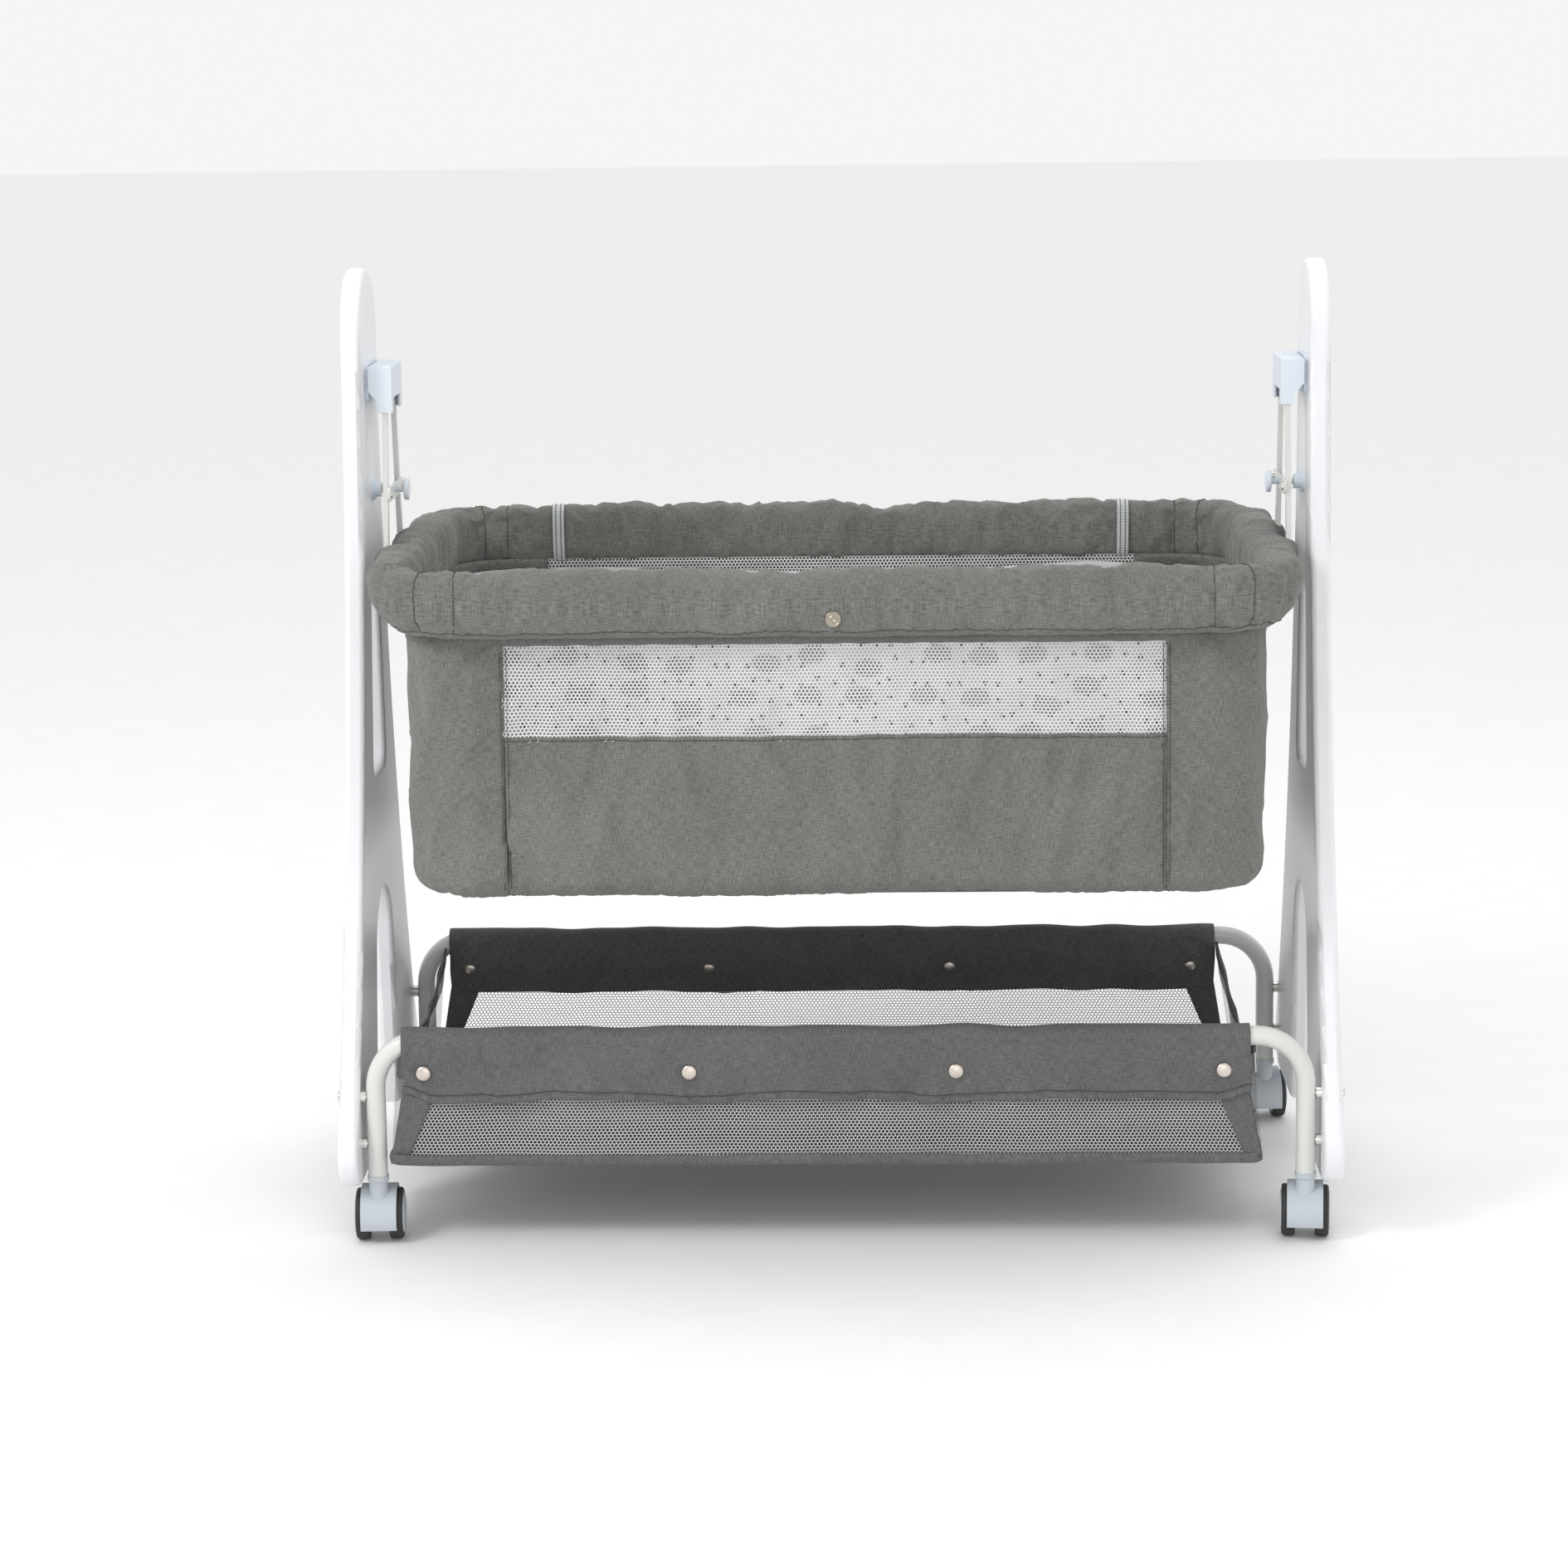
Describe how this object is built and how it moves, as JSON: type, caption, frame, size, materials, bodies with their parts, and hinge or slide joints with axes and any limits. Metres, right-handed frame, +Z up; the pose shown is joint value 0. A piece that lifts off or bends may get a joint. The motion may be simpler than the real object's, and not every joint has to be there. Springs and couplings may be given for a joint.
{
  "type": "bassinet on stand",
  "caption": "Swinging fabric bassinet with net windows, hung between two panel legs on a wheeled tube base with a storage basket.",
  "frame": {"origin": "on the floor, under the middle of the stand", "axes": "+X along the length towards the right-hand end panel, -Y towards the front, +Z up"},
  "size_m": [0.9818, 0.55, 0.943],
  "materials": {
    "panel_paint": "satin paint",
    "tube_paint": "satin",
    "bright_steel": "polished",
    "pale_plastic": "satin",
    "caster_plastic": "satin",
    "tyre_rubber": "matte",
    "grey_cloth": "woven",
    "basket_cloth": "woven",
    "white_net": "open net",
    "white_cloth": "woven",
    "board": "matte",
    "zip_grey": "satin"
  },
  "bodies": {
    "stand": {"end_panel_left": "panel_paint", "end_panel_right": "panel_paint", "base_tube_front": "tube_paint", "base_tube_rear": "tube_paint", "leg_bolts": "bright_steel", "leg_spacers": "bright_steel", "pivot_bolts": "bright_steel", "pivot_plates": "pale_plastic", "lock_sockets": "pale_plastic", "stem_sockets": "caster_plastic", "basket_band_front": "basket_cloth", "basket_band_rear": "basket_cloth", "basket_nets": "white_net", "basket_corner_strips": "basket_cloth", "basket_end_walls": "white_net", "basket_floor": "basket_cloth", "basket_snaps": "bright_steel"},
    "bassinet": {"hanger_yoke_left": "tube_paint", "hanger_yoke_right": "tube_paint", "hanger_cover_left": "pale_plastic", "hanger_cover_right": "pale_plastic", "pivot_bushes": "pale_plastic", "lock_straps": "tube_paint", "strap_bolts": "bright_steel", "rim_tube": "tube_paint", "rim_sleeve": "grey_cloth", "rim_snap": "bright_steel", "rim_binding": "grey_cloth", "front_panel": "grey_cloth", "rear_panel": "grey_cloth", "end_wrap_left": "grey_cloth", "end_wrap_right": "grey_cloth", "mesh_windows": "white_net", "body_floor": "grey_cloth", "floor_board": "board", "mattress": "white_cloth", "liner": "white_cloth", "zipper_tapes": "zip_grey"},
    "lock_knob_left": {"lock_knob_left": "pale_plastic"},
    "zip_slider_left": {"zip_slider_left": "zip_grey"},
    "lock_knob_right": {"lock_knob_right": "pale_plastic"},
    "zip_slider_right": {"zip_slider_right": "zip_grey"},
    "swivel_front_left": {"caster_housing_front_left": "caster_plastic", "caster_stem_front_left": "bright_steel"},
    "wheels_front_left": {"caster_wheels_front_left": "caster_plastic", "caster_tyres_front_left": "tyre_rubber"},
    "swivel_front_right": {"caster_housing_front_right": "caster_plastic", "caster_stem_front_right": "bright_steel"},
    "wheels_front_right": {"caster_wheels_front_right": "caster_plastic", "caster_tyres_front_right": "tyre_rubber"},
    "swivel_rear_left": {"caster_housing_rear_left": "caster_plastic", "caster_stem_rear_left": "bright_steel"},
    "wheels_rear_left": {"caster_wheels_rear_left": "caster_plastic", "caster_tyres_rear_left": "tyre_rubber"},
    "swivel_rear_right": {"caster_housing_rear_right": "caster_plastic", "caster_stem_rear_right": "bright_steel"},
    "wheels_rear_right": {"caster_wheels_rear_right": "caster_plastic", "caster_tyres_rear_right": "tyre_rubber"}
  },
  "joints": [
    {"name": "bassinet_swing", "type": "hinge", "parent": "stand", "child": "bassinet", "pos_m": [0, 0, 0.832], "axis": [1, 0, 0], "range_deg": [-12, 12]},
    {"name": "lock_pin_left", "type": "slide", "parent": "bassinet", "child": "lock_knob_left", "axis": [-1, 0, 0], "range_m": [0, 0.007]},
    {"name": "zip_left", "type": "slide", "parent": "bassinet", "child": "zip_slider_left", "axis": [0, 0, -1], "range_m": [0, 0.18]},
    {"name": "lock_pin_right", "type": "slide", "parent": "bassinet", "child": "lock_knob_right", "axis": [1, 0, 0], "range_m": [0, 0.007]},
    {"name": "zip_right", "type": "slide", "parent": "bassinet", "child": "zip_slider_right", "axis": [0, 0, -1], "range_m": [0, 0.18]},
    {"name": "swivel_front_left", "type": "hinge", "parent": "stand", "child": "swivel_front_left", "pos_m": [-0.453, -0.206, 0.0646], "axis": [0, 0, 1], "continuous": true},
    {"name": "roll_front_left", "type": "hinge", "parent": "swivel_front_left", "child": "wheels_front_left", "pos_m": [-0.45368, -0.19302, 0.025], "axis": [0.9986, 0.0523, 0], "continuous": true},
    {"name": "swivel_front_right", "type": "hinge", "parent": "stand", "child": "swivel_front_right", "pos_m": [0.453, -0.206, 0.0646], "axis": [0, 0, 1], "continuous": true},
    {"name": "roll_front_right", "type": "hinge", "parent": "swivel_front_right", "child": "wheels_front_right", "pos_m": [0.45436, -0.19307, 0.025], "axis": [0.9945, -0.1045, 0], "continuous": true},
    {"name": "swivel_rear_left", "type": "hinge", "parent": "stand", "child": "swivel_rear_left", "pos_m": [-0.453, 0.206, 0.0646], "axis": [0, 0, 1], "continuous": true},
    {"name": "roll_rear_left", "type": "hinge", "parent": "swivel_rear_left", "child": "wheels_rear_left", "pos_m": [-0.45526, 0.2188, 0.025], "axis": [0.9848, 0.1736, 0], "continuous": true},
    {"name": "swivel_rear_right", "type": "hinge", "parent": "stand", "child": "swivel_rear_right", "pos_m": [0.453, 0.206, 0.0646], "axis": [0, 0, 1], "continuous": true},
    {"name": "roll_rear_right", "type": "hinge", "parent": "swivel_rear_right", "child": "wheels_rear_right", "pos_m": [0.45209, 0.21897, 0.025], "axis": [0.9976, 0.0698, 0], "continuous": true}
  ]
}
